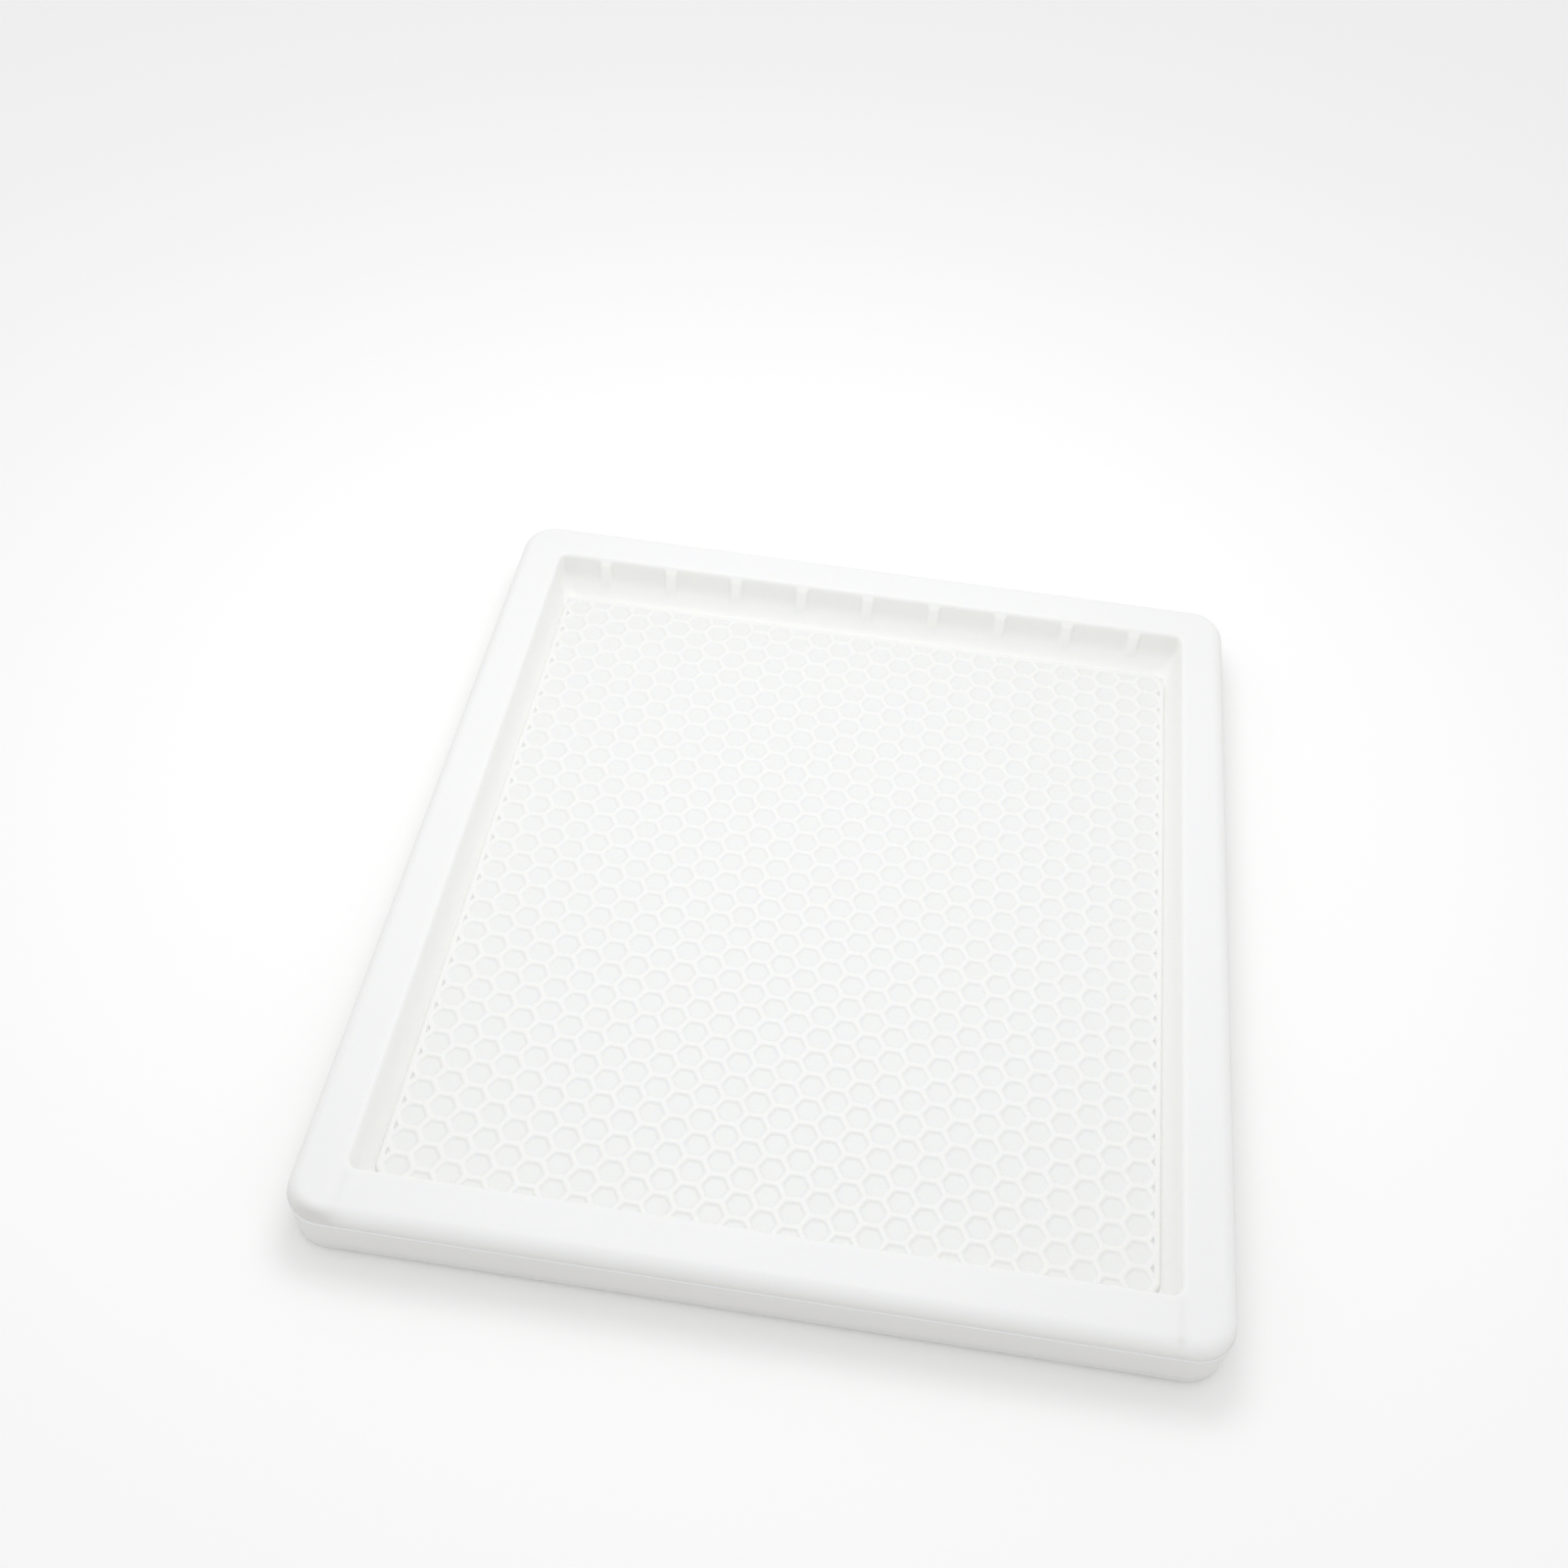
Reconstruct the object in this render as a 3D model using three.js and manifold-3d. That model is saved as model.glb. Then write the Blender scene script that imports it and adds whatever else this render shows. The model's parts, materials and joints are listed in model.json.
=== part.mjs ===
// A beehive cover of moulded white plastic, lying on its back with its inner side up.
// It is a double-walled tray: an outer shell (the weather side), an inner shell (the rim, the
// inner walls and the raised comb panel) that laps into it, and a foam core between the two.
// Millimetres, +Z up, origin at the centre of the underside. X is the width, Y the depth.

import * as THREE from "three";
import { mergeVertices } from "three/addons/utils/BufferGeometryUtils.js";
import Module from "manifold-3d";

const wasm = await Module();
wasm.setup();

// Overall size, and the opening that the hive body stands in.
const WIDTH = 498;
const DEPTH = 572;
const HEIGHT = 38;
const OPENING_WIDTH = 438;
const OPENING_DEPTH = 508;
const OUTER_CORNER = 23;
const OPENING_CORNER = 5;

// Outer wall: a full roll over the rim, then a seam, a slight draft and a rounded foot.
const SEAM_Z = 28.2;
const RIM_ROLL = 8.6;
const WALL_DRAFT = 2;
const FOOT_ROUND = 5;

// Inner side: the edge of the rim, the coves that run down to the moat, and the comb panel.
const RIM_EDGE_ROUND = 3;
const MOAT_Z = 6;
const COVE_RISE = 20;
const PANEL_WIDTH = 425.2;
const PANEL_DEPTH = 485;
const PANEL_Z = 9;
const PANEL_CORNER = 12;
const PANEL_DRAFT = 0.7;

// Wall ribs on the two short inner walls.
const RIB_COUNT = 9;
const RIB_PITCH = 46.8;
const RIB_WIDTH = 8;
const RIB_TOP_Z = HEIGHT - 1.6;
const RIB_DEPTH = 2.4;
const RIB_LEAD = 3;

// Skins, the lap joint at the seam and the running gap between touching pieces.
const SKIN = 1.8;
const LAP_DEPTH = 6;
const LAP_DRAFT = (WALL_DRAFT * LAP_DEPTH) / (SEAM_Z - FOOT_ROUND);
const GAP = 0.3;

const QUARTER_STEPS = 4;
const COVE_STEPS = 8;
const CORNER_STEPS = 3;

const HALF_WIDTH = WIDTH / 2;
const HALF_DEPTH = DEPTH / 2;
const OPENING_X = OPENING_WIDTH / 2;
const OPENING_Y = OPENING_DEPTH / 2;
const PANEL_X = PANEL_WIDTH / 2;
const PANEL_Y = PANEL_DEPTH / 2;

// One level of a shell: the rounded rectangle that its surface passes through at height z.
function ring(halfX, halfY, corner, z) {
  return { halfX, halfY, corner, z };
}

// The outside walls' rings are all named by how far they stand in from the widest outline.
function wallRing(inset, z) {
  return ring(HALF_WIDTH - inset, HALF_DEPTH - inset, Math.max(OUTER_CORNER - inset, 1), z);
}

// The inner walls' rings are named by how far they stand out from the opening, behind its skin.
function openingRing(outset, z) {
  return ring(OPENING_X + outset, OPENING_Y + outset, OPENING_CORNER + outset, z);
}

// Angles of a quarter turn, from 0 to 90 degrees.
function quarter(steps = QUARTER_STEPS) {
  return Array.from({ length: steps + 1 }, (_, i) => (i * Math.PI) / 2 / steps);
}

// A rounded rectangle's outline, counter-clockwise, with the same point count at every size.
function outline({ halfX, halfY, corner }) {
  const shape = new THREE.Shape();
  [
    [1, 1],
    [-1, 1],
    [-1, -1],
    [1, -1],
  ].forEach(([sx, sy], i) => {
    const start = (i * Math.PI) / 2;
    const x = sx * (halfX - corner);
    const y = sy * (halfY - corner);
    shape.absarc(x, y, corner, start, start + Math.PI / 2, false);
  });
  return shape.getPoints(CORNER_STEPS);
}

// A closed skin through the rings, which run outwards from the underside and back in over the
// top. The first and the last ring are filled in flat.
function loft(rings) {
  const loops = rings.map(outline);
  const count = loops[0].length;
  const positions = rings.flatMap(({ z }, i) => loops[i].flatMap((p) => [p.x, p.y, z]));
  const index = [];
  for (let level = 0; level + 1 < rings.length; level += 1) {
    for (let i = 0; i < count; i += 1) {
      const a = level * count + i;
      const b = level * count + ((i + 1) % count);
      index.push(a, b, a + count, b, b + count, a + count);
    }
  }
  const last = (rings.length - 1) * count;
  THREE.ShapeUtils.triangulateShape(loops[0], []).forEach(([a, b, c]) => index.push(a, c, b));
  THREE.ShapeUtils.triangulateShape(loops.at(-1), []).forEach(([a, b, c]) =>
    index.push(last + a, last + b, last + c),
  );
  const geometry = new THREE.BufferGeometry();
  geometry.setAttribute("position", new THREE.Float32BufferAttribute(positions, 3));
  geometry.setIndex(index);
  return geometry;
}

// A geometry as a manifold-3d solid.
function solidFrom(geometry) {
  const bare = geometry.clone();
  bare.deleteAttribute("normal");
  bare.deleteAttribute("uv");
  const merged = mergeVertices(bare, 1e-4);
  const vertProperties = new Float32Array(merged.attributes.position.array);
  const triVerts = new Uint32Array(merged.index.array);
  return new wasm.Manifold(new wasm.Mesh({ numProp: 3, vertProperties, triVerts }));
}

function geometryFrom(solid) {
  const mesh = solid.getMesh();
  const geometry = new THREE.BufferGeometry();
  geometry.setAttribute("position", new THREE.BufferAttribute(mesh.vertProperties, 3));
  geometry.setIndex(new THREE.BufferAttribute(mesh.triVerts, 1));
  const faceted = geometry.toNonIndexed();
  faceted.computeVertexNormals();
  return faceted;
}

// The cove between the moat and an inner wall. It is wider along Y than along X, and grow
// moves it outwards, behind the skin.
function coveRings(grow) {
  const runX = OPENING_X - PANEL_X + grow;
  const runY = OPENING_Y - PANEL_Y + grow;
  const rise = COVE_RISE + grow;
  return quarter(COVE_STEPS).map((t) => {
    const corner = PANEL_CORNER + (OPENING_CORNER + grow - PANEL_CORNER) * Math.sin(t);
    const z = MOAT_Z + COVE_RISE - rise * Math.cos(t);
    return ring(PANEL_X + runX * Math.sin(t), PANEL_Y + runY * Math.sin(t), corner, z);
  });
}

// The roll over the rim, from its flat top out to the wall, drawn in by inset and down by drop.
function rimRollRings(inset, drop) {
  const radius = RIM_ROLL - inset;
  return quarter().map((t) =>
    wallRing(inset + radius * (1 - Math.sin(t)), HEIGHT - drop - radius * (1 - Math.cos(t))),
  );
}

// The rounded inner edge of the rim, from the wall up to the flat top.
function rimEdgeRings(outset) {
  const radius = RIM_EDGE_ROUND;
  return quarter().map((t) =>
    openingRing(
      outset + radius * (1 - Math.cos(t)),
      HEIGHT - outset - radius * (1 - Math.sin(t)),
    ),
  );
}

function footRings(inset) {
  const radius = FOOT_ROUND - inset;
  return quarter().map((t) =>
    wallRing(WALL_DRAFT + inset + radius * (1 - Math.sin(t)), FOOT_ROUND - radius * Math.cos(t)),
  );
}

// A point of the cove on a short wall, t radians up from the moat and grow behind the surface.
function covePoint(t, grow) {
  const y = PANEL_Y + (OPENING_Y - PANEL_Y + grow) * Math.sin(t);
  const z = MOAT_Z + COVE_RISE - (COVE_RISE + grow) * Math.cos(t);
  return new THREE.Vector2(y, z);
}

// One wall rib: a bar down the wall, sloped at its top, whose face runs out on the cove. Its
// back lies inside the wall's skin.
function ribGeometry(x, side) {
  const sunk = SKIN / 2;
  const faceY = OPENING_Y - RIB_DEPTH;
  const footAngle = Math.asin((faceY - PANEL_Y) / (OPENING_Y - PANEL_Y));
  const back = quarter(COVE_STEPS)
    .filter((t) => t >= footAngle)
    .map((t) => covePoint(t, sunk));
  const wedge = new THREE.Shape([
    new THREE.Vector2(faceY, RIB_TOP_Z - RIB_LEAD),
    covePoint(footAngle, 0),
    ...back,
    new THREE.Vector2(OPENING_Y + sunk, RIB_TOP_Z),
    new THREE.Vector2(OPENING_Y, RIB_TOP_Z),
  ]);
  const geometry = new THREE.ExtrudeGeometry(wedge, { depth: RIB_WIDTH, bevelEnabled: false });
  // The wedge is drawn in the YZ plane: its depth runs along X.
  geometry.applyMatrix4(new THREE.Matrix4().set(0, 0, 1, 0, 1, 0, 0, 0, 0, 1, 0, 0, 0, 0, 0, 1));
  geometry.translate(-RIB_WIDTH / 2, 0, 0);
  if (side < 0) {
    geometry.rotateZ(Math.PI);
  }
  geometry.translate(x, 0, 0);
  return geometry;
}

// Weather side: the pan up to the seam.
function outerShellGeometry() {
  return loft([
    ...footRings(0),
    wallRing(0, SEAM_Z),
    wallRing(SKIN, SEAM_Z),
    ...footRings(SKIN).reverse(),
  ]);
}

// Hive side: the comb panel, the moat, the inner walls, the rim and the lap below the seam.
function innerShellGeometry() {
  const lapInset = SKIN + GAP;
  const skinRings = [
    ring(PANEL_X - SKIN - PANEL_DRAFT, PANEL_Y - SKIN - PANEL_DRAFT, PANEL_CORNER, PANEL_Z - SKIN),
    ring(PANEL_X - SKIN, PANEL_Y - SKIN, PANEL_CORNER, MOAT_Z - SKIN),
    ...coveRings(SKIN),
    ...rimEdgeRings(SKIN),
    ...rimRollRings(lapInset + SKIN, SKIN),
    wallRing(lapInset + SKIN, SEAM_Z - LAP_DEPTH),
    wallRing(lapInset + LAP_DRAFT, SEAM_Z - LAP_DEPTH),
    wallRing(lapInset, SEAM_Z + GAP),
    wallRing(0, SEAM_Z + GAP),
    ...rimRollRings(0, 0).reverse(),
    ...rimEdgeRings(0).reverse(),
    ...coveRings(0).reverse(),
    ring(PANEL_X - PANEL_DRAFT, PANEL_Y - PANEL_DRAFT, PANEL_CORNER, PANEL_Z),
  ];
  let shell = solidFrom(loft(skinRings));
  for (let i = 0; i < RIB_COUNT; i += 1) {
    const x = (i - (RIB_COUNT - 1) / 2) * RIB_PITCH;
    for (const side of [-1, 1]) {
      shell = shell.add(solidFrom(ribGeometry(x, side)));
    }
  }
  return geometryFrom(shell);
}

// Foam: a thin slab under the comb panel that rises into the hollow rim all round.
function foamCoreGeometry() {
  const behind = SKIN + GAP;
  const besideLap = 2 * (SKIN + GAP);
  return loft([
    ...footRings(behind),
    wallRing(besideLap, SEAM_Z - LAP_DEPTH - GAP),
    ...rimRollRings(besideLap, behind).reverse(),
    ...rimEdgeRings(behind).reverse(),
    ...coveRings(behind).reverse(),
  ]);
}

function piece(name, geometry, material) {
  const mesh = new THREE.Mesh(geometry, new THREE.MeshStandardMaterial(material));
  mesh.name = name;
  return mesh;
}

const cover = new THREE.Group();
cover.add(
  piece("outer_shell", outerShellGeometry(), { color: 0xecebe6, roughness: 0.5, metalness: 0 }),
  piece("inner_shell", innerShellGeometry(), { color: 0xf2f2ee, roughness: 0.48, metalness: 0 }),
  piece("foam_core", foamCoreGeometry(), { color: 0xf3ecc8, roughness: 0.95, metalness: 0 }),
);

export default cover;
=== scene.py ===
import json
import math

import bmesh
import bpy
import numpy as np
from mathutils import Euler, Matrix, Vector
from mathutils.geometry import tessellate_polygon


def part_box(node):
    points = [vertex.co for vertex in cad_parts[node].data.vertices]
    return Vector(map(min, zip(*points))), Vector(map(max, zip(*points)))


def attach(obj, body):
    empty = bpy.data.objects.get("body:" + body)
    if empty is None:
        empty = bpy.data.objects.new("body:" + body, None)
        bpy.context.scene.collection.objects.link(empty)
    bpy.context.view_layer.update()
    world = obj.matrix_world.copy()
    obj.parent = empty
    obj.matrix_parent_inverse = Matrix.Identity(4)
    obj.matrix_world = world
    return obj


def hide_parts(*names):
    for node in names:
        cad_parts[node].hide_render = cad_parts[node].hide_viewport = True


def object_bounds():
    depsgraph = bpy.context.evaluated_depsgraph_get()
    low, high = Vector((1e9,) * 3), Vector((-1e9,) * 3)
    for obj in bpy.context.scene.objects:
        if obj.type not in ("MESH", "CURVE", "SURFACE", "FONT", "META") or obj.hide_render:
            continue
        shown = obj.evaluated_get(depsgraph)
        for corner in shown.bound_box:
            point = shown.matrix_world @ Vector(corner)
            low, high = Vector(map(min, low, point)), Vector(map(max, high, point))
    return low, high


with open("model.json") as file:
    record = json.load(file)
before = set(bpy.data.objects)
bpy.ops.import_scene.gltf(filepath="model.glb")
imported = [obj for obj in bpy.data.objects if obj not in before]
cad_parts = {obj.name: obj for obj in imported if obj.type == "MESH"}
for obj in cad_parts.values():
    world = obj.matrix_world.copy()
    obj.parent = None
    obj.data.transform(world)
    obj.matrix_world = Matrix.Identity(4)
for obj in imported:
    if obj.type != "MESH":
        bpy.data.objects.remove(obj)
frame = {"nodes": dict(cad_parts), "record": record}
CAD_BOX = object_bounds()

# A moulded hive cover lying on its back. Lengths are in metres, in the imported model's frame:
# X is the width, Y the depth and Z points up out of the open side.
MM = 0.001
TOLERANCE = 0.03 * MM

# Heights and half sizes read from the frame.
HALF_X, HALF_Y, TOP_Z = CAD_BOX[1]
SEAM_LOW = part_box("outer_shell")[1].z
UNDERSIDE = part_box("inner_shell")[0].z
MOUNTS = {m["name"]: Vector(m["pos_m"]) for m in frame["record"]["mounts"]}
PANEL_Z = MOUNTS["hive_seat"].z

# Outer wall.
SEAM_GAP = 0.03 * MM
WALL_SINK = 0.75 * MM  # how far the roll stands in from the flash at the seam
OUTER_CORNER = 23 * MM
RIM_ROLL = 8.6 * MM
WALL_DRAFT = 2 * MM
FOOT_ROUND = 5 * MM
SKIN = 1.8 * MM
LAP_DEPTH = 6 * MM
LAP_GAP = 0.3 * MM
LAP_DRAFT = WALL_DRAFT * LAP_DEPTH / (SEAM_LOW - FOOT_ROUND)

# Inner side.
OPENING_X = 219 * MM
OPENING_Y = 254 * MM
OPENING_CORNER = 5 * MM
RIM_EDGE_ROUND = 3 * MM
MOAT_Z = UNDERSIDE + SKIN
COVE_RISE = 20 * MM
COVE_START_X = 212.6 * MM
COVE_START_Y = 242.5 * MM
PANEL_CORNER = 12 * MM

# Shrink creases across the front rail, and their dimples: where along the rail, how far in from
# the outline, how long, how deep and how much painted shade they get.
CREASE_DEPTH = 0.25 * MM
CREASE_PAINTED_SHADE = 0.12
CREASE_WIDTH = 2.2 * MM
CREASE_LEAD_IN = 5 * MM  # from the opening to full depth
CREASE_LEAD_OUT = 4 * MM  # from full depth to the roll
CREASE_END = 2 * MM
DIMPLE_WIDTH = 2.6 * MM
DIMPLES = (
    (-230 * MM, 2.2 * MM, 10.5 * MM, 1.1 * MM, 1.0),
    (219 * MM, 6.2 * MM, 3 * MM, 0.5 * MM, 0.18),
)

# Ribs on the two short inner walls.
RIB_COUNT = 9
RIB_PITCH = 46.8 * MM
RIB_HALF_WIDTH = 4 * MM
RIB_BLEND = 1.5 * MM
RIB_TOP_Z = TOP_Z - 1.6 * MM
RIB_DEPTH = 2.4 * MM
RIB_LEAD = 3 * MM  # height of the slope at a rib's top
RIB_FADE = 0.5 * MM

# Honeycomb: regular cells with two flat sides across the depth.
CELL_SIDE = 9.6 * MM
CELL_COLUMNS = 29
CELL_ROWS = 29
ROW_PITCH = math.sqrt(3) * CELL_SIDE
COLUMN_PITCH = 1.5 * CELL_SIDE

CORNER_STEPS = 14
SHARP_ANGLE = math.radians(40)

# Painted shade: how strong it is low on the roll and high on the far wall, and where that wall's
# begins.
ROLL_PAINTED_SHADE = 0.75
FAR_WALL_PAINTED_SHADE = 0.22
FAR_SHADE_START_Z = 15 * MM
FAR_SHADE_RISE = 8 * MM

# Colour factors: the clouds, the painted shade of the pocket floors, the painted warm bounce
# light in the recess and full painted shade.
CLOUD_TINT = (0.985, 0.985, 0.985)
FLOOR_SHADE_TINT = (0.953, 0.961, 0.96)
PAINTED_BOUNCE_TINT = (1.072, 1.072, 1.052)
PAINTED_SHADE_TINT = (0.79, 0.78, 0.762)

CAMERA_PLACE = (0.0388, -0.7605, 0.9113)
CAMERA_DEGREES = (43.30, -3.02, 8.15)
CAMERA_LENS = 43.6

# The softboxes: name, place, target, size and power.
WORLD_STRENGTH = 0.85
SOFTBOXES = (
    ("overhead_softbox", (-0.07, 0.1, 0.72), (-0.07, 0.08, 0), (0.4, 0.3), 0.92),
    ("back_softbox", (0.0, 0.45, 0.95), (0, 0.1, 0), (0.6, 0.3), 0.8),
)


def clamp(value):
    return min(max(value, 0.0), 1.0)


def quarter(steps=9):
    """Angles of a quarter turn, from 0 to 90 degrees."""
    return [math.pi / 2 * i / steps for i in range(steps + 1)]


def rib_centres():
    return [(i - (RIB_COUNT - 1) / 2) * RIB_PITCH for i in range(RIB_COUNT)]


def side_stations():
    """X of the points along a short side: close together at the ribs, and a few in each bay."""
    edge = [RIB_HALF_WIDTH + RIB_BLEND * k for k in (-1.3, -0.7, -0.35, 0, 0.35, 0.7, 1.3)]
    stations = []
    for centre in rib_centres():
        stations += [centre - e for e in edge] + [centre + e for e in edge] + [centre]
    stations += [c + RIB_PITCH * k for c in rib_centres()[:-1] for k in (0.3, 0.5, 0.7)]
    return sorted(stations)


def rib_share(x):
    """How much of a rib stands at x: 1 on its face, 0 in the bays, with a soft step between."""
    nearest = min(abs(x - centre) for centre in rib_centres())
    t = clamp((RIB_HALF_WIDTH + RIB_BLEND - nearest) / (2 * RIB_BLEND))
    return t * t * (3 - 2 * t)


STATIONS = side_stations()
LAST_STATION = STATIONS[-1]
CORNER_STATIONS = 22  # points between the last rib and the corner
LONG_STATIONS = [OPENING_Y * 0.88 * k / 12 for k in range(-12, 13)]


def ring(half_x, half_y, corner, z, rib=0.0):
    """A rounded rectangle at height z, counter-clockwise. The ribs push its short sides in."""
    free = half_x - corner - LAST_STATION
    beyond = [LAST_STATION + free * k / CORNER_STATIONS for k in range(1, CORNER_STATIONS)]
    stations = [-x for x in reversed(beyond)] + STATIONS + beyond
    points = []
    for quadrant, (sx, sy) in enumerate(((1, 1), (-1, 1), (-1, -1), (1, -1))):
        for step in range(CORNER_STEPS + 1):
            angle = (quadrant + step / CORNER_STEPS) * math.pi / 2
            x = sx * (half_x - corner) + corner * math.cos(angle)
            y = sy * (half_y - corner) + corner * math.sin(angle)
            points.append((x, y, z))
        if quadrant == 0:
            points += [(x, half_y - rib * rib_share(x), z) for x in reversed(stations)]
        elif quadrant == 1:
            points += [(-half_x, y, z) for y in reversed(LONG_STATIONS)]
        elif quadrant == 2:
            points += [(x, rib * rib_share(x) - half_y, z) for x in stations]
        else:
            points += [(half_x, y, z) for y in LONG_STATIONS]
    return points


def wall_ring(inset, z):
    """The outer wall's outline, drawn in by inset."""
    corner = max(OUTER_CORNER - inset, MM)
    return ring(HALF_X - inset, HALF_Y - inset, corner, z)


def opening_ring(outset, z, rib=0.0):
    """The opening's outline, moved out by outset."""
    corner = OPENING_CORNER + outset
    return ring(OPENING_X + outset, OPENING_Y + outset, corner, z, rib)


def cove_point(t, grow=0.0):
    """(y, z) of the cove on a short wall, t radians up from the moat, grow behind the surface."""
    y = COVE_START_Y + (OPENING_Y - COVE_START_Y + grow) * math.sin(t)
    z = MOAT_Z + COVE_RISE - (COVE_RISE + grow) * math.cos(t)
    return y, z


def rib_depth(y, z):
    """How far a rib's face stands in from the wall or the cove at (y, z)."""
    face_y = OPENING_Y - RIB_DEPTH * clamp((RIB_TOP_Z - z) / RIB_LEAD)
    depth = max(y - face_y, 0.0)
    return depth * depth / (depth + RIB_FADE)


def cove_rings(grow=0.0, ribbed=False):
    """The cove from the moat up to the inner walls."""
    rings = []
    for t in quarter(18):
        y, z = cove_point(t, grow)
        x = COVE_START_X + (OPENING_X - COVE_START_X + grow) * math.sin(t)
        corner = PANEL_CORNER + (OPENING_CORNER + grow - PANEL_CORNER) * math.sin(t)
        rings.append(ring(x, y, corner, z, rib_depth(y, z) if ribbed else 0.0))
    return rings


def rim_roll_rings(inset, drop, height):
    """The roll from the rim's flat top out to the wall, drawn in by inset and down by drop."""
    radius = RIM_ROLL - inset
    return [
        wall_ring(inset + radius * (1 - math.sin(t)), TOP_Z - drop - height * (1 - math.cos(t)))
        for t in quarter()
    ]


def rim_edge_rings(outset, ribbed=False):
    """The rounded inner edge of the rim, from the wall up to the flat top."""
    rings = []
    for t in quarter(7):
        out = outset + RIM_EDGE_ROUND * (1 - math.cos(t))
        z = TOP_Z - outset - RIM_EDGE_ROUND * (1 - math.sin(t))
        rings.append(opening_ring(out, z, rib_depth(OPENING_Y, z) if ribbed else 0.0))
    return rings


def rim_flat_rings():
    """The flat top of the rim, from the roll in to the inner edge."""
    outer = (HALF_X - RIM_ROLL, HALF_Y - RIM_ROLL, OUTER_CORNER - RIM_ROLL)
    reach = RIM_EDGE_ROUND
    inner = (OPENING_X + reach, OPENING_Y + reach, OPENING_CORNER + reach)
    steps = [k / 10 for k in range(1, 10)]
    return [ring(*[a + (b - a) * t for a, b in zip(outer, inner)], TOP_Z) for t in steps]


def flash_rings():
    """The fine flash that stands out of the seam."""
    low = SEAM_LOW + SEAM_GAP
    return [wall_ring(inset * MM, low + rise * MM) for inset, rise in FLASH_SECTION]


def foot_rings(inset):
    """The rounded foot, from the underside up to the outer wall."""
    radius = FOOT_ROUND - inset
    return [
        wall_ring(
            WALL_DRAFT + inset + radius * (1 - math.sin(t)),
            FOOT_ROUND - radius * math.cos(t),
        )
        for t in quarter()
    ]


def inner_wall_rings():
    """The ribbed wall between the cove and the rim's edge."""
    low = MOAT_Z + COVE_RISE
    high = TOP_Z - RIM_EDGE_ROUND
    heights = [low + (high - low) * k / 6 for k in range(1, 6)]
    return [opening_ring(0.0, z, rib_depth(OPENING_Y, z)) for z in heights]


def rim_inset(x, y):
    """How far (x, y) lies inside the outer wall's outline."""
    corner_x = max(abs(x) - (HALF_X - OUTER_CORNER), 0.0)
    corner_y = max(abs(y) - (HALF_Y - OUTER_CORNER), 0.0)
    return OUTER_CORNER - math.hypot(corner_x, corner_y)


def bell(offset, width):
    """A smooth bump: 1 at no offset, and close to 0 beyond twice the width."""
    return math.exp(-((offset / width) ** 2))


def dents(x, y):
    """How deep the front rail is pressed in at (x, y), and how much painted shade it gets there:
    two shrink creases in line with the opening's sides, and the dimples where they meet the roll."""
    lead_in = clamp((-y - OPENING_Y) / CREASE_LEAD_IN)
    lead_out = clamp((rim_inset(x, y) - CREASE_END) / CREASE_LEAD_OUT)
    crease = lead_in * lead_out * bell(abs(x) - OPENING_X, CREASE_WIDTH)
    depth = CREASE_DEPTH * crease
    painted_shade = CREASE_PAINTED_SHADE * crease
    for place, inset, half_length, deepest, dimple_shade in DIMPLES:
        press = bell(rim_inset(x, y) - inset, DIMPLE_WIDTH) * bell(x - place, half_length)
        depth += deepest * press
        painted_shade += dimple_shade * press
    return depth, painted_shade


def press_creases(mesh):
    """Moves the front rail's points in along their normals."""
    normals = [v.normal.copy() for v in mesh.vertices]
    for vertex, normal in zip(mesh.vertices, normals):
        x, y, z = vertex.co
        if y < -OPENING_Y and z > TOP_Z - RIM_ROLL and normal.z > 0.0:
            vertex.co -= normal * dents(x, y)[0]


class Surface:
    """Collects vertices and faces, and turns them into one welded mesh."""

    def __init__(self):
        self.points = []
        self.faces = []

    def add_points(self, points):
        first = len(self.points)
        self.points += [tuple(p) for p in points]
        return list(range(first, len(self.points)))

    def band(self, low, high):
        """Quads between two closed loops of vertex numbers."""
        count = len(low)
        for i in range(count):
            j = (i + 1) % count
            self.faces.append((low[i], low[j], high[j], high[i]))

    def loft(self, rings):
        """Bands through all the rings. Returns the first and the last loop."""
        loops = [self.add_points(r) for r in rings]
        for low, high in zip(loops, loops[1:]):
            self.band(low, high)
        return loops[0], loops[-1]

    def fan(self, loop):
        """Fills a convex loop from its middle."""
        middle = np.mean([self.points[i] for i in loop], axis=0)
        centre = self.add_points([middle])[0]
        for i, a in enumerate(loop):
            self.faces.append((a, loop[(i + 1) % len(loop)], centre))

    def annulus(self, outer, inner):
        """Fills the flat ring between two loops."""
        loops = [[Vector(self.points[i]) for i in loop] for loop in (outer, inner)]
        index = outer + inner
        for triangle in tessellate_polygon(loops):
            self.faces.append(tuple(index[i] for i in triangle))

    def build(self, name):
        """The surface as a smooth-shaded object with its sharp edges marked."""
        mesh = bpy.data.meshes.new(name)
        mesh.from_pydata(self.points, [], self.faces)
        bm = bmesh.new()
        bm.from_mesh(mesh)
        bmesh.ops.remove_doubles(bm, verts=bm.verts, dist=0.002 * MM)
        bmesh.ops.dissolve_degenerate(bm, edges=bm.edges, dist=0.001 * MM)
        bmesh.ops.recalc_face_normals(bm, faces=bm.faces)
        bm.to_mesh(mesh)
        bm.free()
        mesh.shade_smooth()
        mesh.set_sharp_from_angle(angle=SHARP_ANGLE)
        piece = bpy.data.objects.new(name, mesh)
        bpy.context.scene.collection.objects.link(piece)
        return piece


def directions(polygon):
    """Outward normal angle of each edge i -> i+1 of a counter-clockwise polygon."""
    count = len(polygon)
    angles = []
    for i in range(count):
        (ax, ay), (bx, by) = polygon[i], polygon[(i + 1) % count]
        angles.append(math.atan2(ax - bx, by - ay))
    return angles


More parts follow.
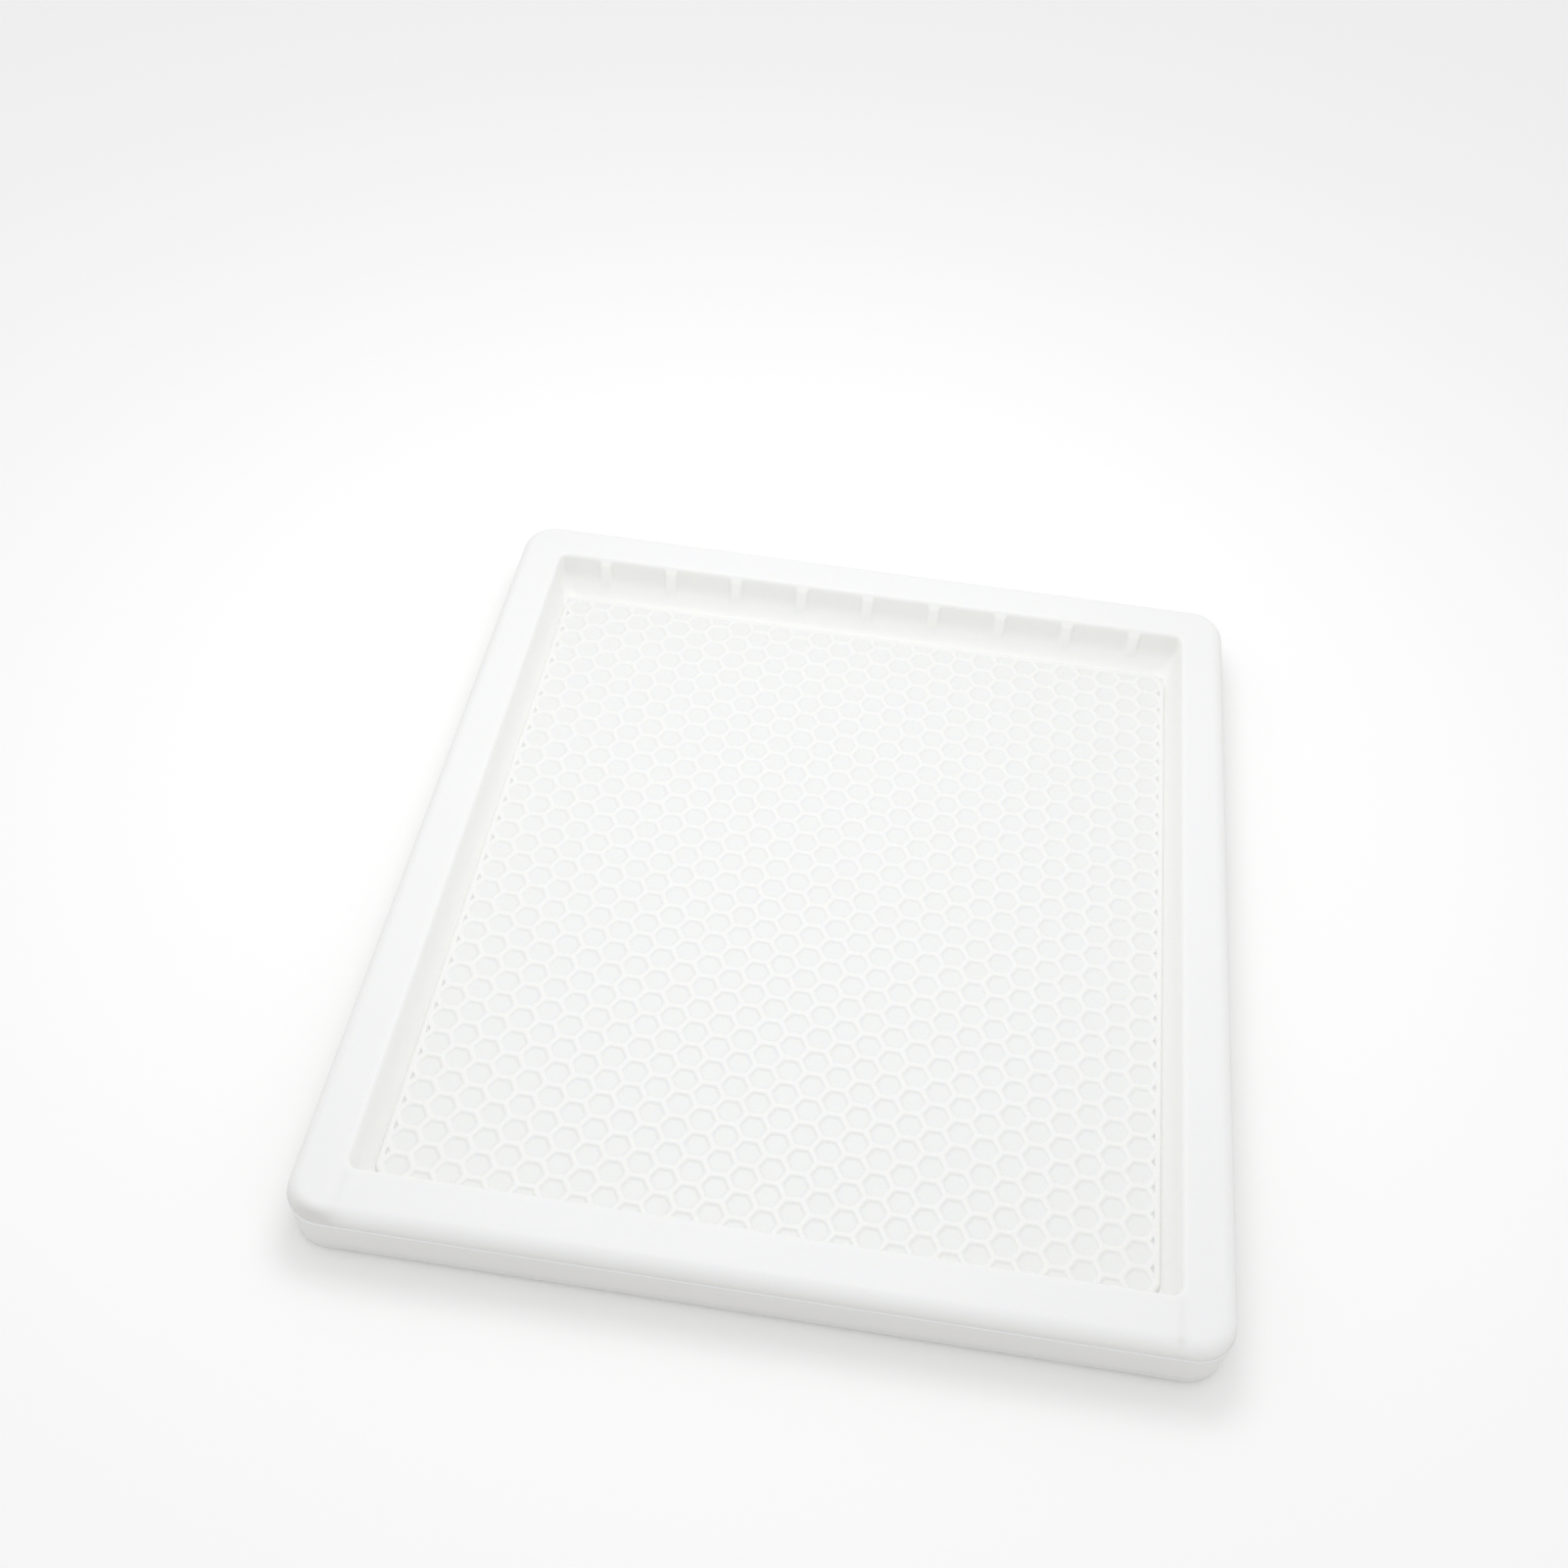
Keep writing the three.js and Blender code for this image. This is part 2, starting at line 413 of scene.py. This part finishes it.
def rounded(polygon, inset, radius, z, steps=4):
    """A convex polygon drawn in by inset, its corners rounded to radius, at height z."""
    angles = directions(polygon)
    points = []
    for i, (x, y) in enumerate(polygon):
        before, after = angles[i - 1], angles[i]
        turn = (after - before) % (2 * math.pi)
        # The corner moves in along the bisector until it is inset + radius from both edges.
        reach = (inset + radius) / math.cos(turn / 2)
        middle = before + turn / 2
        cx = x - reach * math.cos(middle)
        cy = y - reach * math.sin(middle)
        for k in range(steps):
            angle = before + turn * k / (steps - 1)
            points.append((cx + radius * math.cos(angle), cy + radius * math.sin(angle), z))
    return points


# A pocket's section, from the crest of the ridge down to the floor: how far in, how far down,
# and the rounding of the corners, in millimetres.
POCKET_SECTION = (
    (0.0, 0.0, 0.0),
    (0.5, 0.01, 0.9),
    (0.95, 0.06, 1.4),
    (1.35, 0.2, 1.9),
    (1.7, 0.42, 2.2),
    (2.05, 0.7, 2.4),
    (2.4, 0.93, 2.5),
    (2.85, 1.07, 2.4),
    (3.5, 1.12, 2.0),
)
HALF_POCKET_SECTION = tuple((0.85 * i, d, 0.5 * r) for i, d, r in POCKET_SECTION)
NOTCH_SECTION = (
    (0.0, 0.0, 0.0),
    (0.6, 0.01, 0.2),
    (1.0, 0.07, 0.3),
    (1.25, 0.25, 0.35),
    (1.4, 0.6, 0.35),
    (1.55, 1.1, 0.3),
    (1.75, 1.35, 0.2),
)
# The panel's edge, from its crest down to the moat: how far out and how far down.
BORDER_SECTION = ((0.0, 0.0), (0.3, 0.02), (0.6, 0.12), (0.82, 0.38), (0.95, 0.9), (1.2, 3.0))
# The flash at the seam, from its lower edge up to the roll: how far in and how far up.
FLASH_SECTION = ((0.0, 0.0), (0.0, 0.12), (0.15, 0.4), (0.5, 0.7), (0.75, 0.8))


def cell_centre(column, row):
    x = (column - (CELL_COLUMNS - 1) / 2) * COLUMN_PITCH
    y = (row - (CELL_ROWS - 1) / 2 + (0.5 if column % 2 else 0.0)) * ROW_PITCH
    return x, y


def hexagon(x, y, first=0, last=6):
    """Corners first to last of a cell, counter-clockwise from the one at +X."""
    return [
        (x + CELL_SIDE * math.cos(math.pi / 3 * k), y + CELL_SIDE * math.sin(math.pi / 3 * k))
        for k in range(first, last)
    ]


def panel_pockets():
    """Every pocket's outline with its section: whole cells, half cells and side notches."""
    cells = []
    for column in range(CELL_COLUMNS):
        odd = column % 2
        for row in range(CELL_ROWS - odd):
            cells.append((hexagon(*cell_centre(column, row)), POCKET_SECTION))
        if odd:
            x, y = cell_centre(column, -1)
            cells.append((hexagon(x, y, 0, 4), HALF_POCKET_SECTION))
            x, y = cell_centre(column, CELL_ROWS - 1)
            cells.append((hexagon(x, y, 3, 7), HALF_POCKET_SECTION))
    for row in range(CELL_ROWS - 1):
        for column, sign in ((0, -1), (CELL_COLUMNS - 1, 1)):
            x, y = cell_centre(column, row)
            low = (x + sign * CELL_SIDE, y)
            high = (x + sign * CELL_SIDE, y + ROW_PITCH)
            tip = (x + sign * CELL_SIDE / 2, y + ROW_PITCH / 2)
            cells.append(([low, tip, high] if sign < 0 else [low, high, tip], NOTCH_SECTION))
    return cells


def panel_outline():
    """The border ridge's centreline, counter-clockwise, with a point at every cell corner."""
    last = CELL_COLUMNS - 1
    front = []
    for column in range(0, CELL_COLUMNS, 2):
        x, y = cell_centre(column, 0)
        front += [(x - CELL_SIDE / 2, y - ROW_PITCH / 2), (x + CELL_SIDE / 2, y - ROW_PITCH / 2)]
    right = []
    for row in range(CELL_ROWS):
        x, y = cell_centre(last, row)
        right.append((x + CELL_SIDE, y))
    half = front + right
    return half + [(-x, -y) for x, y in half]


def border_ring(outline, out, z):
    """The panel's outline moved out, turning its corners in arcs."""
    return rounded(outline, -2 * out, out, z)


def add_honeycomb(surface):
    """Adds the panel and returns the loop where its border meets the moat."""
    for polygon, section in panel_pockets():
        loops = []
        for inset, drop, radius in section:
            level = rounded(polygon, inset * MM, radius * MM, PANEL_Z - drop * MM)
            loops.append(surface.add_points(level))
        for high, low in zip(loops, loops[1:]):
            surface.band(high, low)
        surface.faces.append(tuple(loops[-1]))
    outline = panel_outline()
    loops = []
    for out, drop in BORDER_SECTION:
        loops.append(surface.add_points(border_ring(outline, out * MM, PANEL_Z - drop * MM)))
    for high, low in zip(loops, loops[1:]):
        surface.band(low, high)
    return loops[-1]


def painted_bounce_share(x, y, z):
    """Where warm bounce light is painted: 1 in the moat and against the inner walls, fading out
    at the panel and below the rim.
    """
    beside = max(abs(x) - COVE_START_X, abs(y) - COVE_START_Y) / MM
    within = min(OPENING_X - abs(x), OPENING_Y - abs(y)) / MM + 1.5
    below = (TOP_Z - 1.5 * MM - z) / (2 * MM)
    return clamp(beside) * clamp(within) * clamp(below)


def roll_painted_shade(x, y, z):
    """Painted shade on the roll, strongest at its foot. The flash at the seam is left unshaded.
    """
    inset = rim_inset(x, y)
    on_flash = inset < WALL_SINK - TOLERANCE and z < SEAM_LOW + MM
    if inset >= RIM_ROLL or on_flash:
        return 0.0
    return ROLL_PAINTED_SHADE * clamp((TOP_Z - z) / (0.85 * RIM_ROLL)) ** 2


def far_wall_painted_shade(y, z):
    """Painted shade high on the far wall under the rim, but not on its ribs."""
    clear_of_ribs = clamp((y - OPENING_Y + RIB_DEPTH - 0.4 * MM) / MM)
    high = clamp((z - FAR_SHADE_START_Z) / FAR_SHADE_RISE)
    return FAR_WALL_PAINTED_SHADE * clear_of_ribs * high


def mark_painted_light(mesh):
    """Stores two shares on every point: painted warm bounce light, in the moat and against the
    inner walls, and painted shade, on the roll, in the creases and high on the far wall."""
    painted_bounce = mesh.attributes.new("painted_bounce", "FLOAT", "POINT")
    painted_shade = mesh.attributes.new("painted_shade", "FLOAT", "POINT")
    for i, vertex in enumerate(mesh.vertices):
        x, y, z = vertex.co
        bounce_here = painted_bounce_share(x, y, z)
        value = roll_painted_shade(x, y, z)
        if y < -OPENING_Y and z > SEAM_LOW + MM:
            value += dents(x, y)[1]
        if y > COVE_START_Y:
            value += bounce_here * far_wall_painted_shade(y, z)
        painted_bounce.data[i].value = bounce_here
        painted_shade.data[i].value = clamp(value)


def make_inner_shell():
    surface = Surface()
    lap = SKIN + LAP_GAP
    rings = [
        *cove_rings(SKIN),
        *rim_edge_rings(SKIN),
        *rim_roll_rings(lap + SKIN, SKIN, RIM_ROLL - lap - SKIN),
        wall_ring(lap + SKIN, SEAM_LOW - LAP_DEPTH),
        wall_ring(lap + LAP_DRAFT, SEAM_LOW - LAP_DEPTH),
        wall_ring(lap, SEAM_LOW + SEAM_GAP),
        *flash_rings(),
        *reversed(rim_roll_rings(WALL_SINK, 0.0, RIM_ROLL)),
        *rim_flat_rings(),
        *reversed(rim_edge_rings(0.0, ribbed=True)),
        *reversed(inner_wall_rings()),
        *reversed(cove_rings(0.0, ribbed=True)),
    ]
    first, last = surface.loft(rings)
    surface.fan(first)
    border = add_honeycomb(surface)
    surface.annulus(last, border)
    shell = surface.build("cover_inner_shell")
    press_creases(shell.data)
    mark_painted_light(shell.data)
    return shell


def make_outer_shell():
    surface = Surface()
    rings = [
        *foot_rings(0.0),
        wall_ring(0.0, SEAM_LOW),
        wall_ring(SKIN, SEAM_LOW),
        *reversed(foot_rings(SKIN)),
    ]
    first, last = surface.loft(rings)
    surface.fan(first)
    surface.fan(last)
    return surface.build("cover_outer_shell")


def tinted(color, factors):
    return tuple(c * f for c, f in zip(color, factors))


def add_bump(tree, height, strength, distance):
    node = tree.nodes.new("ShaderNodeBump")
    node.inputs["Strength"].default_value = strength
    node.inputs["Distance"].default_value = distance
    tree.links.new(height, node.inputs["Height"])
    return node


def white_plastic(name, color, roughness, grain):
    """Moulded white plastic: a fine grain, faint flow marks and slightly uneven gloss, with
    painted shade and painted warm bounce light.
    """
    material = bpy.data.materials.new(name)
    material.use_nodes = True
    tree = material.node_tree
    shader = tree.nodes["Principled BSDF"]
    shader.inputs["Specular IOR Level"].default_value = 0.4
    shader.inputs["Subsurface Weight"].default_value = 0.12
    shader.inputs["Subsurface Scale"].default_value = 4 * MM
    shader.inputs["Subsurface Radius"].default_value = (1.0, 0.8, 0.5)
    place = tree.nodes.new("ShaderNodeTexCoord")

    def noise(scale, detail):
        node = tree.nodes.new("ShaderNodeTexNoise")
        node.inputs["Scale"].default_value = scale
        node.inputs["Detail"].default_value = detail
        tree.links.new(place.outputs["Object"], node.inputs["Vector"])
        return node

    def ramp(source, low, high):
        """Spreads a noise's usual range from low to high."""
        node = tree.nodes.new("ShaderNodeMapRange")
        node.inputs["From Min"].default_value = 0.3
        node.inputs["From Max"].default_value = 0.7
        node.inputs["To Min"].default_value = low
        node.inputs["To Max"].default_value = high
        tree.links.new(source, node.inputs["Value"])
        return node.outputs["Result"]

    def mix(factor, low, high):
        """Mixes two colours. Each is either a colour or the socket of one."""
        node = tree.nodes.new("ShaderNodeMix")
        node.data_type = "RGBA"
        tree.links.new(factor, node.inputs[0])
        for socket, value in ((node.inputs[6], low), (node.inputs[7], high)):
            if isinstance(value, tuple):
                socket.default_value = (*value, 1)
            else:
                tree.links.new(value, socket)
        return node.outputs[2]

    cloud = mix(noise(9.0, 3.0).outputs["Fac"], tinted(color, CLOUD_TINT), color)
    # Painted shade: the floors of the pockets are a little greyer than the ridges.
    height = tree.nodes.new("ShaderNodeSeparateXYZ")
    tree.links.new(place.outputs["Object"], height.inputs[0])
    low_share = tree.nodes.new("ShaderNodeMapRange")
    low_share.inputs["From Min"].default_value = PANEL_Z
    low_share.inputs["From Max"].default_value = PANEL_Z - 0.9 * MM
    tree.links.new(height.outputs["Z"], low_share.inputs["Value"])
    painted_light_color = mix(low_share.outputs["Result"], cloud, tinted(color, FLOOR_SHADE_TINT))
    # Painted warm bounce light in the moat and on the inner walls, and painted shade on the roll,
    # in the creases and high on the far wall.
    for share, factors in (("painted_bounce", PAINTED_BOUNCE_TINT), ("painted_shade", PAINTED_SHADE_TINT)):
        stored = tree.nodes.new("ShaderNodeAttribute")
        stored.attribute_name = share
        painted_light_color = mix(stored.outputs["Fac"], painted_light_color, tinted(color, factors))
    tree.links.new(painted_light_color, shader.inputs["Base Color"])
    gloss = ramp(noise(35.0, 4.0).outputs["Fac"], roughness - 0.04, roughness + 0.04)
    tree.links.new(gloss, shader.inputs["Roughness"])
    fine = add_bump(tree, noise(900.0, 2.0).outputs["Fac"], grain, 0.08 * MM)
    flow = add_bump(tree, noise(45.0, 2.0).outputs["Fac"], 0.25, 0.6 * MM)
    tree.links.new(fine.outputs["Normal"], flow.inputs["Normal"])
    tree.links.new(flow.outputs["Normal"], shader.inputs["Normal"])
    return material


def foam_material():
    """Rigid foam: pale yellow with small cells."""
    material = bpy.data.materials.new("rigid_foam")
    material.use_nodes = True
    tree = material.node_tree
    shader = tree.nodes["Principled BSDF"]
    place = tree.nodes.new("ShaderNodeTexCoord")
    cells = tree.nodes.new("ShaderNodeTexVoronoi")
    cells.inputs["Scale"].default_value = 700.0
    tree.links.new(place.outputs["Object"], cells.inputs["Vector"])
    colors = tree.nodes.new("ShaderNodeValToRGB")
    colors.color_ramp.elements[0].color = (0.70, 0.63, 0.36, 1)
    colors.color_ramp.elements[1].color = (0.86, 0.80, 0.55, 1)
    tree.links.new(cells.outputs["Distance"], colors.inputs["Fac"])
    tree.links.new(colors.outputs["Color"], shader.inputs["Base Color"])
    roughness = tree.nodes.new("ShaderNodeMapRange")
    roughness.inputs["To Min"].default_value = 0.98
    roughness.inputs["To Max"].default_value = 0.88
    tree.links.new(cells.outputs["Distance"], roughness.inputs["Value"])
    tree.links.new(roughness.outputs["Result"], shader.inputs["Roughness"])
    bump = add_bump(tree, cells.outputs["Distance"], 0.6, 0.4 * MM)
    tree.links.new(bump.outputs["Normal"], shader.inputs["Normal"])
    return material


def finish_piece(piece, node, material):
    """Gives a piece its material and puts it in the place of a CAD node."""
    piece.data.materials.append(material)
    weighted = piece.modifiers.new("even_shading", "WEIGHTED_NORMAL")
    weighted.keep_sharp = True
    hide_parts(node)
    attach(piece, "root")


def plain_material(name, color, roughness):
    material = bpy.data.materials.new(name)
    material.use_nodes = True
    shader = material.node_tree.nodes["Principled BSDF"]
    shader.inputs["Base Color"].default_value = (*color, 1)
    shader.inputs["Roughness"].default_value = roughness
    return material


def make_floor():
    mesh = bpy.data.meshes.new("floor")
    half = 6.0
    corners = [(-half, -half, 0), (half, -half, 0), (half, half, 0), (-half, half, 0)]
    mesh.from_pydata(corners, [], [(0, 1, 2, 3)])
    floor = bpy.data.objects.new("floor", mesh)
    floor.location.z = -0.05 * MM
    bpy.context.scene.collection.objects.link(floor)
    mesh.materials.append(plain_material("floor", (0.985, 0.985, 0.985), 0.9))


def make_camera():
    data = bpy.data.cameras.new("camera")
    data.lens = CAMERA_LENS
    data.sensor_width = 36.0
    data.clip_start = 0.01
    data.clip_end = 30.0
    camera = bpy.data.objects.new("camera", data)
    camera.location = CAMERA_PLACE
    camera.rotation_euler = Euler([math.radians(a) for a in CAMERA_DEGREES])
    bpy.context.scene.collection.objects.link(camera)
    bpy.context.scene.camera = camera


def area_light(name, place, target, size, power):
    data = bpy.data.lights.new(name, "AREA")
    data.shape = "RECTANGLE"
    data.size, data.size_y = size
    data.energy = power
    light = bpy.data.objects.new(name, data)
    light.location = place
    aim = Vector(target) - Vector(place)
    light.rotation_euler = aim.to_track_quat("-Z", "Y").to_euler()
    bpy.context.scene.collection.objects.link(light)


def make_light():
    world = bpy.data.worlds.new("studio")
    bpy.context.scene.world = world
    world.use_nodes = True
    background = world.node_tree.nodes["Background"]
    background.inputs["Color"].default_value = (1, 1, 1, 1)
    background.inputs["Strength"].default_value = WORLD_STRENGTH
    for softbox in SOFTBOXES:
        area_light(*softbox)
    bpy.context.scene.view_settings.view_transform = "Standard"


make_camera()
make_light()
make_floor()
inner_white = white_plastic("inner_white", (0.893, 0.893, 0.887), 0.45, 0.25)
# The outer shell is a darker copy of the same white plastic: painted shade on the outer walls.
outer_white_shaded = white_plastic("outer_white_shaded", (0.755, 0.749, 0.735), 0.5, 0.4)
finish_piece(make_inner_shell(), "inner_shell", inner_white)
finish_piece(make_outer_shell(), "outer_shell", outer_white_shaded)
foam = frame["nodes"]["foam_core"]
foam.data.materials.clear()
foam.data.materials.append(foam_material())
